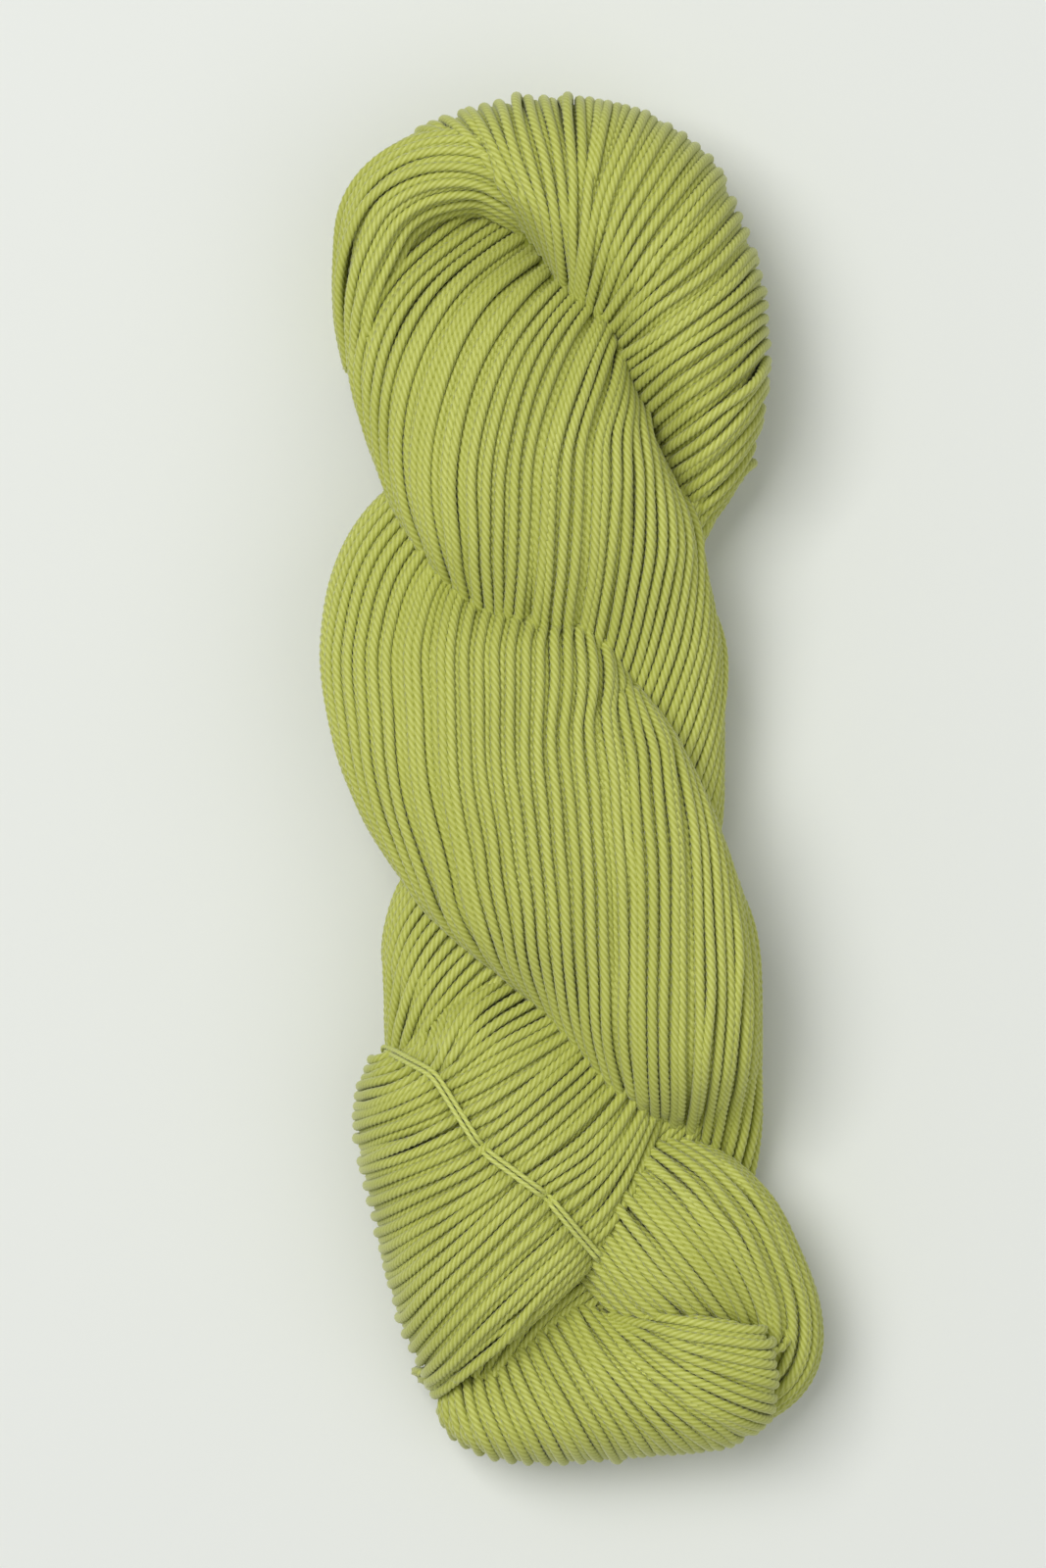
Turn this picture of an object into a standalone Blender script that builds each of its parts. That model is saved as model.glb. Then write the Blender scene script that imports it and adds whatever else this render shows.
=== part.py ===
"""A skein of yarn, twisted and folded to lie flat, held by one thin tie.

The hank of wound yarn is one soft solid: the fold at its far end, two plies that
twist round each other, and the two end loops at its near end, one tucked through
the other.  The tie is a thin ring round the neck of the tucked loop.

The part lies on z = 0 with its length along +Y.  Stations are in millimetres.
"""

import math

import bmesh
import bpy
from mathutils import Matrix, Vector

MM = 0.001

# Driving dimensions, in metres.
SKEIN_LENGTH = 260 * MM
SKEIN_WIDTH = 93 * MM
SKEIN_HEIGHT = 50 * MM
TIE_DIAMETER = 1.7 * MM
TIE_CLEARANCE = 0.45 * MM
FLAT_CUT = 2.5 * MM

# How finely the wound yarn is made.
SIDES = 28
STEPS_PER_STATION = 5
FUSE_SIZE = 2.5 * MM
SMOOTH_PASSES = 6
KEPT_SHARE = 0.30
ROUNDNESS = 2.3
TIE_POINTS = 72

YARN_GREEN = (0.402, 0.456, 0.130, 1.0)
TIE_GREEN = (0.470, 0.521, 0.180, 1.0)

# Each bundle is a list of stations: x, y, z of its middle, its half width across
# the table and its half height, all in millimetres.
TWO_PLIES = [
    # The first ply, from its end at the neck up into the fold.
    (-19, -82, 24, 28, 13),
    (-11, -70, 28, 24, 14),
    (-13, -57, 27, 21, 15),
    (-17, -46, 24, 18, 16),
    (-18, -36, 21, 18, 17),
    (-12, -26, 18, 20, 16),
    (0, -18, 16, 22, 15),
    (8, -6, 17, 20, 15),
    (11, 8, 20, 17, 16),
    (9, 22, 24, 19, 17),
    (3, 36, 29, 22, 17),
    (-5, 50, 32, 23, 17),
    (-13, 64, 33, 24, 17),
    (-20, 78, 30, 22, 19),
    (-25, 92, 26, 19, 21),
    (-26, 103, 23, 17, 21),
    (-22, 110, 22, 15, 20),
    (-12, 112, 20, 15, 18),
    (0, 108, 19, 16, 16),
    # Round the back of the fold and down as the second ply.
    (12, 98, 19, 18, 16),
    (21, 82, 20, 16, 18),
    (20, 68, 19, 16, 18),
    (14, 56, 17, 17, 16),
    (4, 48, 16, 21, 15),
    (-10, 44, 17, 21, 15),
    (-21, 38, 20, 22, 17),
    (-22, 28, 24, 24, 19),
    (-19, 16, 28, 26, 18),
    (-13, 4, 32, 28, 17),
    (-4, -8, 34, 28, 16),
    (5, -20, 34, 25, 16),
    (12, -32, 31, 21, 16),
    (17, -44, 28, 18, 17),
    (20, -56, 24, 15, 18),
    (21, -68, 22, 15, 18),
]
FOLD_LOBE = [
    (-25, 122, 20, 5, 13),
    (-16, 117, 23, 11, 19),
    (-6, 113, 24, 16, 21),
    (3, 110, 24, 19, 21),
    (12, 104, 24, 20, 21),
    (19, 95, 24, 18, 21),
    (23, 82, 23, 15, 20),
    (23, 70, 21, 14, 18),
    (20, 58, 18, 12, 16),
]
FOLD_CORE = [
    (-10, 106, 17, 10, 15),
    (1, 92, 18, 11, 16),
    (8, 76, 18, 12, 16),
    (9, 58, 17, 12, 14),
]
UPPER_END_LEG = [
    (14, -66, 20, 14, 16),
    (18, -76, 22, 15, 19),
    (25, -86, 23, 16, 20),
    (31, -98, 22, 14, 20),
    (32, -108, 19, 13, 17),
    (26, -117, 16, 10, 14),
]
LOWER_END_LEG = [
    (-17, -112, 16, 9, 13),
    (-8, -115, 19, 13, 17),
    (8, -115, 20, 14, 18),
    (22, -113, 19, 14, 16),
    (31, -111, 17, 10, 13),
]
BACK_OF_END_LOOP = [
    (-14, -114, 13, 11, 12),
    (-10, -98, 14, 19, 13),
    (-2, -84, 15, 20, 13),
    (10, -66, 16, 17, 14),
]

# The tucked loop's fan: x, y, z, half length, half height and the angle in degrees
# that the station's long side makes with +X.
TUCKED_FAN = [
    (-8, -66, 29, 22, 13, -38),
    (-12, -72, 29, 24, 14, -48),
    (-19, -81, 25, 27, 14, -55),
    (-27, -88, 20, 29, 14, -63),
    (-33, -91, 16, 27, 12, -68),
    (-36, -92, 14, 25, 9, -70),
]

# The tie's ring: over the neck from its left side to its right, then back under.
TIE_RING = [
    (-35, -52, 22),
    (-29, -54, 37),
    (-20, -65, 42),
    (-9, -75, 43),
    (1, -85, 39),
    (6, -92, 28),
    (2, -89, 17),
    (-9, -77, 13),
    (-21, -64, 12),
    (-32, -55, 13),
]


def clear_scene():
    """Takes every object out of the scene."""
    for obj in list(bpy.data.objects):
        bpy.data.objects.remove(obj, do_unlink=True)


def make_material(name, colour, roughness):
    """A matt material of one colour."""
    material = bpy.data.materials.new(name)
    material.use_nodes = True
    shader = material.node_tree.nodes["Principled BSDF"]
    shader.inputs["Base Color"].default_value = colour
    shader.inputs["Roughness"].default_value = roughness
    shader.inputs["Metallic"].default_value = 0.0
    material.diffuse_color = colour
    return material


def spline_point(points, index, share, cyclic=False):
    """The point of a Catmull-Rom curve, a share of the way from one point to the next."""
    count = len(points)

    def pick(i):
        return points[i % count] if cyclic else points[min(max(i, 0), count - 1)]

    before, start, end, after = (pick(index + step) for step in (-1, 0, 1, 2))
    result = []
    for a, b, c, d in zip(before, start, end, after):
        bend = (2 * a - 5 * b + 4 * c - d) * share ** 2
        twist = (3 * b - 3 * c + d - a) * share ** 3
        result.append(0.5 * (2 * b + (c - a) * share + bend + twist))
    return result


def smooth_stations(stations):
    """The stations with more between them, on a smooth curve through them."""
    dense = []
    for index in range(len(stations) - 1):
        for step in range(STEPS_PER_STATION):
            dense.append(spline_point(stations, index, step / STEPS_PER_STATION))
    dense.append(list(stations[-1]))
    return dense


def side_direction(stations, index):
    """The level direction across the bundle at a station: its own angle, or square to its run."""
    if len(stations[index]) > 5:
        angle = math.radians(stations[index][5])
        return Vector((math.cos(angle), math.sin(angle), 0))
    ahead = stations[min(index + 1, len(stations) - 1)]
    behind = stations[max(index - 1, 0)]
    run = Vector((ahead[0] - behind[0], ahead[1] - behind[1], 0)).normalized()
    return Vector((-run.y, run.x, 0))


def section_ring(mesh, station, across):
    """One rounded cross-section of a bundle."""
    x, y, z, half_width, half_height = station[:5]
    ring = []
    for side in range(SIDES):
        angle = 2 * math.pi * side / SIDES
        cosine, sine = math.cos(angle), math.sin(angle)
        wide = math.copysign(abs(cosine) ** (2 / ROUNDNESS), cosine) * half_width
        tall = math.copysign(abs(sine) ** (2 / ROUNDNESS), sine) * half_height
        place = Vector((x, y, z)) + across * wide + Vector((0, 0, tall))
        ring.append(mesh.verts.new(place * MM))
    return ring


def loft_bundle(mesh, stations):
    """Adds one closed bundle through its stations, with domed ends."""
    dense = smooth_stations(stations)
    rings = []
    for index, station in enumerate(dense):
        rings.append(section_ring(mesh, station, side_direction(dense, index)))
    for lower, upper in zip(rings, rings[1:]):
        for side in range(SIDES):
            after = (side + 1) % SIDES
            mesh.faces.new((lower[side], lower[after], upper[after], upper[side]))
    mesh.faces.new(rings[0])
    mesh.faces.new(rings[-1])


def apply_modifiers(obj):
    """Makes the object's evaluated mesh its own and drops its modifiers."""
    graph = bpy.context.evaluated_depsgraph_get()
    mesh = bpy.data.meshes.new_from_object(obj.evaluated_get(graph))
    obj.modifiers.clear()
    obj.data = mesh
    mesh.name = obj.name


def keep_largest_shell(obj):
    """Deletes every loose shell of the mesh but the one with the most points."""
    mesh = bmesh.new()
    mesh.from_mesh(obj.data)
    unseen = set(mesh.verts)
    shells = []
    while unseen:
        shell = set()
        front = [unseen.pop()]
        while front:
            vert = front.pop()
            shell.add(vert)
            near = {edge.other_vert(vert) for edge in vert.link_edges} & unseen
            unseen -= near
            front.extend(near)
        shells.append(shell)
    largest = max(shells, key=len)
    spare = [vert for vert in mesh.verts if vert not in largest]
    bmesh.ops.delete(mesh, geom=spare, context="VERTS")
    mesh.to_mesh(obj.data)
    mesh.free()


def fit_to_size(obj):
    """Scales the mesh to the skein's length, width and height, and centres it in plan.

    Its lowest part goes a little below z = 0, where the flat face is cut.
    """
    points = [vert.co for vert in obj.data.vertices]
    low = Vector([min(point[axis] for point in points) for axis in range(3)])
    high = Vector([max(point[axis] for point in points) for axis in range(3)])
    wanted = Vector((SKEIN_WIDTH, SKEIN_LENGTH, SKEIN_HEIGHT + FLAT_CUT))
    factors = [wanted[axis] / (high[axis] - low[axis]) for axis in range(3)]
    middle = (low + high) / 2
    start = Matrix.Translation((-middle.x, -middle.y, -low.z))
    place = Matrix.Translation((0, 0, -FLAT_CUT)) @ Matrix.Diagonal((*factors, 1)) @ start
    obj.data.transform(place)
    return place


def tie_curve(name, radius, place):
    """The tie's ring as a closed tube of the given radius."""
    curve = bpy.data.curves.new(name, "CURVE")
    curve.dimensions = "3D"
    curve.bevel_depth = radius
    curve.bevel_resolution = 2
    spline = curve.splines.new("POLY")
    spline.points.add(TIE_POINTS - 1)
    spline.use_cyclic_u = True
    for index in range(TIE_POINTS):
        along = index * len(TIE_RING) / TIE_POINTS
        station = int(along)
        x, y, z = spline_point(TIE_RING, station, along - station, cyclic=True)
        point = place @ Vector((x * MM, y * MM, z * MM))
        spline.points[index].co = (*point, 1)
    obj = bpy.data.objects.new(name, curve)
    bpy.context.collection.objects.link(obj)
    apply_modifiers_of_curve(obj)
    return bpy.data.objects[name]


def apply_modifiers_of_curve(obj):
    """Puts a mesh object in the place of a curve object, under the same name."""
    name = obj.name
    graph = bpy.context.evaluated_depsgraph_get()
    mesh = bpy.data.meshes.new_from_object(obj.evaluated_get(graph))
    bpy.data.objects.remove(obj, do_unlink=True)
    mesh.name = name
    solid = bpy.data.objects.new(name, mesh)
    bpy.context.collection.objects.link(solid)
    square_up(solid)


def square_up(obj):
    """Turns the faces of a closed mesh outward."""
    mesh = bmesh.new()
    mesh.from_mesh(obj.data)
    bmesh.ops.remove_doubles(mesh, verts=mesh.verts, dist=1e-6)
    bmesh.ops.recalc_face_normals(mesh, faces=mesh.faces)
    if mesh.calc_volume(signed=True) < 0:
        bmesh.ops.reverse_faces(mesh, faces=mesh.faces)
    mesh.to_mesh(obj.data)
    mesh.free()


def hide_helper(obj):
    """Marks an object as a cutter."""
    obj.hide_render = True
    obj.display_type = "WIRE"


def cut_with(obj, cutter):
    """Takes the cutter's space out of the object."""
    cut = obj.modifiers.new("cut_" + cutter.name, "BOOLEAN")
    cut.operation = "DIFFERENCE"
    cut.solver = "EXACT"
    cut.object = cutter
    hide_helper(cutter)


def table_cutter():
    """A slab whose top is the plane that the skein rests on."""
    mesh = bmesh.new()
    depth = SKEIN_HEIGHT
    size = Matrix.Diagonal((2 * SKEIN_WIDTH, 2 * SKEIN_LENGTH, depth, 1))
    bmesh.ops.create_cube(mesh, size=1, matrix=Matrix.Translation((0, 0, -depth / 2)) @ size)
    data = bpy.data.meshes.new("table_cutter")
    mesh.to_mesh(data)
    mesh.free()
    obj = bpy.data.objects.new("table_cutter", data)
    bpy.context.collection.objects.link(obj)
    return obj


def build_wound_yarn():
    """The fused bundles, thinned to a plain mesh, and the move that fitted them to size."""
    mesh = bmesh.new()
    for stations in (
        TWO_PLIES,
        FOLD_LOBE,
        FOLD_CORE,
        UPPER_END_LEG,
        LOWER_END_LEG,
        BACK_OF_END_LOOP,
        TUCKED_FAN,
    ):
        loft_bundle(mesh, stations)
    bmesh.ops.recalc_face_normals(mesh, faces=mesh.faces)
    data = bpy.data.meshes.new("wound_yarn")
    mesh.to_mesh(data)
    mesh.free()
    obj = bpy.data.objects.new("wound_yarn", data)
    bpy.context.collection.objects.link(obj)
    fuse = obj.modifiers.new("fuse", "REMESH")
    fuse.mode = "VOXEL"
    fuse.voxel_size = FUSE_SIZE
    relax = obj.modifiers.new("relax", "SMOOTH")
    relax.factor = 0.5
    relax.iterations = SMOOTH_PASSES
    apply_modifiers(obj)
    keep_largest_shell(obj)
    thin = obj.modifiers.new("thin", "DECIMATE")
    thin.ratio = KEPT_SHARE
    apply_modifiers(obj)
    place = fit_to_size(obj)
    square_up(obj)
    return obj, place


def main():
    """Builds the wound yarn and its tie."""
    clear_scene()
    yarn, place = build_wound_yarn()
    cut_with(yarn, table_cutter())
    groove = tie_curve("tie_groove", TIE_DIAMETER / 2 + TIE_CLEARANCE, place)
    cut_with(yarn, groove)
    tie = tie_curve("figure_eight_tie", TIE_DIAMETER / 2, place)
    yarn.data.materials.clear()
    yarn.data.materials.append(make_material("plied_yarn", YARN_GREEN, 0.8))
    tie.data.materials.append(make_material("tie_yarn", TIE_GREEN, 0.7))
    yarn.data.shade_smooth()
    tie.data.shade_smooth()


main()
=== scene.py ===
"""A twisted skein of plied yarn, lying flat and laced with one thin tie.

The skein is one long yarn wound into a hank.  The hank is twisted and folded in
half, so that its two halves ply round each other, and the end loop of one half is
tucked through the end loop of the other.  Every strand on show is a twisted, lobed
yarn over the surface of its bundle.

Bundles are laid out in millimetres: +X across the skein, +Y from the tied end to the
folded end, +Z up from the table.  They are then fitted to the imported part's box.
"""

import logging
import math
from dataclasses import dataclass, field
from enum import Enum
from functools import partial

import bpy
import numpy as np
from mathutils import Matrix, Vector
from mathutils.bvhtree import BVHTree


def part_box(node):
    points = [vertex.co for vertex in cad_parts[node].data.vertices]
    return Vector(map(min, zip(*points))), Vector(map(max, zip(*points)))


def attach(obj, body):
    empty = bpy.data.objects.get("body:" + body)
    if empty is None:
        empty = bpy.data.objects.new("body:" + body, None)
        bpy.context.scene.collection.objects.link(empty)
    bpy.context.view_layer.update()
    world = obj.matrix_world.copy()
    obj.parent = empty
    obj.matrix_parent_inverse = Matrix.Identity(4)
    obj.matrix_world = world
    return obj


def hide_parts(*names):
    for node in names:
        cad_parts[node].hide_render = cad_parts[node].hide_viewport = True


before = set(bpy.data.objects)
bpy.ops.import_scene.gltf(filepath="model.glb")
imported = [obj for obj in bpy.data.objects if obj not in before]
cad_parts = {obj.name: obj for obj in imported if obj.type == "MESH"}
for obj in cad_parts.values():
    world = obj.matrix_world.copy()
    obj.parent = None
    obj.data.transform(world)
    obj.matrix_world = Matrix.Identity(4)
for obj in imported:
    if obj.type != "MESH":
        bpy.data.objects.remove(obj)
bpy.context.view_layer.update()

log = logging.getLogger("skein")

MM = 0.001
BODY = "root"
YARN_NODE = "wound_yarn"
TIE_NODE = "figure_eight_tie"

# The box that the bundles are drawn in, in millimetres.
PLAN_LOW = (-46.5, -130.0, 0.0)
PLAN_HIGH = (46.5, 130.0, 50.0)

# The most triangles in a piece, and how many each ply takes in one step of yarn.
MOST_TRIANGLES = 180_000
FACES_PER_PLY = 4

# The grid of a bundle's surface.
SECTION_SIDES = 96
ROW_SPACING = 1.6
JUST_OVER_ONE = 1.001

# The middle of a strand that lies on the table, and how square the bundles are.
TABLE_REST = 0.95
ROUNDNESS = 2.3
POWER = 2 / ROUNDNESS


class Twist(Enum):
    """Which way plies wind: S leans like the stroke of an S, Z like that of a Z."""

    S = -1
    Z = 1


class Course(Enum):
    """A course of strands: the outer one on show, or the one under it."""

    OUTER = "outer"
    UNDER = "under"


@dataclass(frozen=True)
class YarnGauge:
    """The yarn's own build, in millimetres.

    The groove is the radius between plies, as a share of the radius over them.
    """

    diameter: float = 2.04
    plies: int = 5
    pitch: float = 7.6
    groove: float = 0.76
    step: float = 0.85
    twist: Twist = Twist.S


def smooth_steps(points: np.ndarray, per_span: int) -> np.ndarray:
    """Puts a Catmull-Rom curve through rows of numbers.

    Args:
        points: One row for each station.
        per_span: How many rows stand in for each gap between two stations.

    Returns:
        The denser rows, the last station included.
    """
    padded = np.vstack([2 * points[0] - points[1], points, 2 * points[-1] - points[-2]])
    share = np.arange(per_span)[:, None] / per_span
    rows = []
    for index in range(len(points) - 1):
        a, b, c, d = padded[index:index + 4]
        bend = (2 * a - 5 * b + 4 * c - d) * share ** 2
        sway = (3 * b - 3 * c + d - a) * share ** 3
        rows.append(0.5 * (2 * b + (c - a) * share + bend + sway))
    rows.append(points[-1][None])
    return np.vstack(rows)


def lengths_along(points: np.ndarray) -> np.ndarray:
    """The length of path from its first point to each of its points."""
    steps = np.linalg.norm(np.diff(points, axis=0), axis=1)
    return np.concatenate([[0.0], np.cumsum(steps)])


def read_at(points: np.ndarray, run: np.ndarray, wanted: np.ndarray) -> np.ndarray:
    """A path's rows at the lengths wanted, where run is the length at each row it has."""
    return np.stack([np.interp(wanted, run, column) for column in points.T], axis=1)


def even_rows(points: np.ndarray, spacing: float, columns: int = 3) -> np.ndarray:
    """Re-spaces rows evenly along the path that their first columns make.

    Args:
        points: Rows whose first columns are a place.
        spacing: The gap wanted between rows, in millimetres.
        columns: How many columns the place has.

    Returns:
        The re-spaced rows.
    """
    run = lengths_along(points[:, :columns])
    count = max(int(round(run[-1] / spacing)), 2) + 1
    return read_at(points, run, np.linspace(0.0, run[-1], count))


def eased(points: np.ndarray, passes: int) -> np.ndarray:
    """Softens the bends of a path whose ends stay where they are.

    Args:
        points: The path's points.
        passes: How many times each point moves towards its neighbours' middle.

    Returns:
        The softened path.
    """
    points = points.copy()
    for _ in range(passes):
        points[1:-1] = (points[:-2] + 2 * points[1:-1] + points[2:]) / 4
    return points


def unit(vectors: np.ndarray) -> np.ndarray:
    """The vectors along the last axis, each of length one."""
    lengths = np.linalg.norm(vectors, axis=-1, keepdims=True)
    return vectors / np.maximum(lengths, 1e-9)


def soft_noise(shape: tuple[int, int], cells: tuple[float, float], seed: int) -> np.ndarray:
    """Smooth random waves over a grid of strands and steps.

    Args:
        shape: Rows and columns wanted.
        cells: How many rows and columns one wave takes.
        seed: The fixed seed.

    Returns:
        An array of the shape, of about -1 to 1.
    """
    rng = np.random.default_rng(seed)
    rows = np.arange(shape[0]) / cells[0] + rng.random()
    cols = np.arange(shape[1]) / cells[1] + rng.random()
    knots = rng.uniform(-1, 1, (int(rows[-1]) + 3, int(cols[-1]) + 3))
    row, col = rows.astype(int), cols.astype(int)
    fr, fc = (rows - row)[:, None], (cols - col)[None]
    fr, fc = fr * fr * (3 - 2 * fr), fc * fc * (3 - 2 * fc)
    low = knots[np.ix_(row, col)] * (1 - fc) + knots[np.ix_(row, col + 1)] * fc
    high = knots[np.ix_(row + 1, col)] * (1 - fc) + knots[np.ix_(row + 1, col + 1)] * fc
    return low * (1 - fr) + high * fr


@dataclass
class Lay:
    """A bundle's surface as a grid of points: rows along the strands, columns across."""

    points: np.ndarray
    closed_across: bool
    normals: np.ndarray = field(init=False)

    def __post_init__(self) -> None:
        """Works out the outward normals."""
        if self.closed_across:
            across = np.roll(self.points, -1, axis=1) - np.roll(self.points, 1, axis=1)
        else:
            across = np.gradient(self.points, axis=1)
        along = np.gradient(self.points, axis=0)
        self.normals = unit(np.cross(across, along))
        middle = self.points.mean(axis=1, keepdims=True)
        if (self.normals * (self.points - middle)).sum() < 0:
            self.normals = -self.normals

    def sample(self, rows: np.ndarray, cols: np.ndarray) -> tuple[np.ndarray, np.ndarray]:
        """Reads points and normals at places between the grid's own.

        Args:
            rows: Row numbers, whole or not.
            cols: Column numbers, whole or not.

        Returns:
            The points and the normals there.
        """
        count = self.points.shape[1]
        if self.closed_across:
            cols = np.mod(cols, count)
        else:
            cols = np.clip(cols, 0, count - JUST_OVER_ONE)
        rows = np.clip(rows, 0, self.points.shape[0] - JUST_OVER_ONE)
        r, c = rows.astype(int), cols.astype(int)
        fr, fc = (rows - r)[..., None], (cols - c)[..., None]
        after = (c + 1) % count
        found = []
        for grid in (self.points, self.normals):
            low = grid[r, c] * (1 - fc) + grid[r, after] * fc
            high = grid[r + 1, c] * (1 - fc) + grid[r + 1, after] * fc
            found.append(low * (1 - fr) + high * fr)
        return found[0], unit(found[1])


@dataclass
class Bundle:
    """Many strands lying side by side over one rounded shape."""

    name: str
    strands: int
    seed: int

    def lay(self) -> Lay:
        """The surface that the strands' middles lie on."""
        raise NotImplementedError

    def hull(self, inset: float) -> tuple[np.ndarray, np.ndarray]:
        """A closed mesh inside the surface, as points and triangles."""
        raise NotImplementedError

    def courses(self, lay: Lay) -> np.ndarray:
        """Column numbers of each strand at each row, before any waver."""
        raise NotImplementedError


@dataclass
class TwistedPly(Bundle):
    """A bundle whose strands run along it and wind slowly round it.

    Each station is x, y, z, half width, half height and the strands' lean in
    degrees, all on the surface of the strands' middles.
    """

    stations: list[tuple[float, ...]]

    STATION_STEPS = 12
    ANGLES = 4 * SECTION_SIDES + 1
    THINNEST = 0.5

    def rows(self) -> np.ndarray:
        """The stations, smoothed and evenly spaced."""
        dense = smooth_steps(np.array(self.stations, float), self.STATION_STEPS)
        return even_rows(dense, ROW_SPACING)

    def sections(self, inset: float) -> np.ndarray:
        """The rounded cross-sections, each with evenly spaced points.

        Args:
            inset: How far inside the strands' middles they lie, in millimetres.

        Returns:
            The points, one section after another.
        """
        rows = self.rows()
        run = unit(np.gradient(rows[:, :2], axis=0))
        across = np.stack([-run[:, 1], run[:, 0]], axis=1)
        angles = np.linspace(0, 2 * math.pi, self.ANGLES)
        wide = np.sign(np.cos(angles)) * np.abs(np.cos(angles)) ** POWER
        tall = np.sign(np.sin(angles)) * np.abs(np.sin(angles)) ** POWER
        rings = []
        for row, side in zip(rows, across):
            width = max(row[3] - inset, self.THINNEST)
            height = max(row[4] - inset, self.THINNEST)
            ring = np.column_stack([
                row[0] + side[0] * wide * width,
                row[1] + side[1] * wide * width,
                np.maximum(row[2] + tall * height, TABLE_REST + inset),
            ])
            length = lengths_along(ring)
            wanted = np.linspace(0.0, length[-1], SECTION_SIDES + 1)[:-1]
            rings.append(read_at(ring, length, wanted))
        return np.array(rings)

    def lay(self) -> Lay:
        """The surface that the strands' middles lie on."""
        return Lay(self.sections(0.0), closed_across=True)

    def courses(self, lay: Lay) -> np.ndarray:
        """Column numbers of each strand at each row, from the stations' lean.

        Args:
            lay: The surface that the columns are of.

        Returns:
            The numbers, strands first.
        """
        rows = self.rows()
        loop = np.linalg.norm(np.roll(lay.points, -1, axis=1) - lay.points, axis=2).sum(axis=1)
        steps = np.linalg.norm(np.gradient(rows[:, :3], axis=0), axis=1)
        turned = np.cumsum(np.tan(np.radians(rows[:, 5])) * steps / loop)
        starts = np.arange(self.strands) / self.strands
        return (starts[:, None] + turned[None]) * SECTION_SIDES

    def hull(self, inset: float) -> tuple[np.ndarray, np.ndarray]:
        """A closed mesh inside the surface, with fewer points than it."""
        return close_tube(self.sections(inset)[::2, ::3])


def close_tube(rings: np.ndarray) -> tuple[np.ndarray, np.ndarray]:
    """Joins closed rings into one shell with a fan of triangles at each end.

    Args:
        rings: Rings of points, in order.

    Returns:
        Points, and triangles that face outward.
    """
    count, sides = rings.shape[:2]
    points = np.vstack([rings.reshape(-1, 3), rings[0].mean(axis=0), rings[-1].mean(axis=0)])
    index = np.arange(count * sides).reshape(count, sides)
    after = np.roll(index, -1, axis=1)
    a, b, c, d = index[:-1], after[:-1], after[1:], index[1:]
    faces = [np.stack([a, b, c], axis=-1).reshape(-1, 3), np.stack([a, c, d], axis=-1).reshape(-1, 3)]
    faces.append(np.column_stack([after[0], index[0], np.full(sides, len(points) - 2)]))
    faces.append(np.column_stack([index[-1], after[-1], np.full(sides, len(points) - 1)]))
    triangles = np.vstack(faces)
    if np.linalg.det(points[triangles]).sum() < 0:
        triangles = triangles[:, ::-1]
    return points, triangles


@dataclass(frozen=True)
class Rib:
    """One guiding strand of a fanned lobe, in plan, with its heights.

    It runs through the points of its plan, from the crease to the edge that it goes
    over, and ends beneath at under.
    """

    plan: tuple[tuple[float, float], ...]
    under: tuple[float, float]
    inner_z: float
    crest_z: float
    edge_z: float
    under_z: float = TABLE_REST


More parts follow.
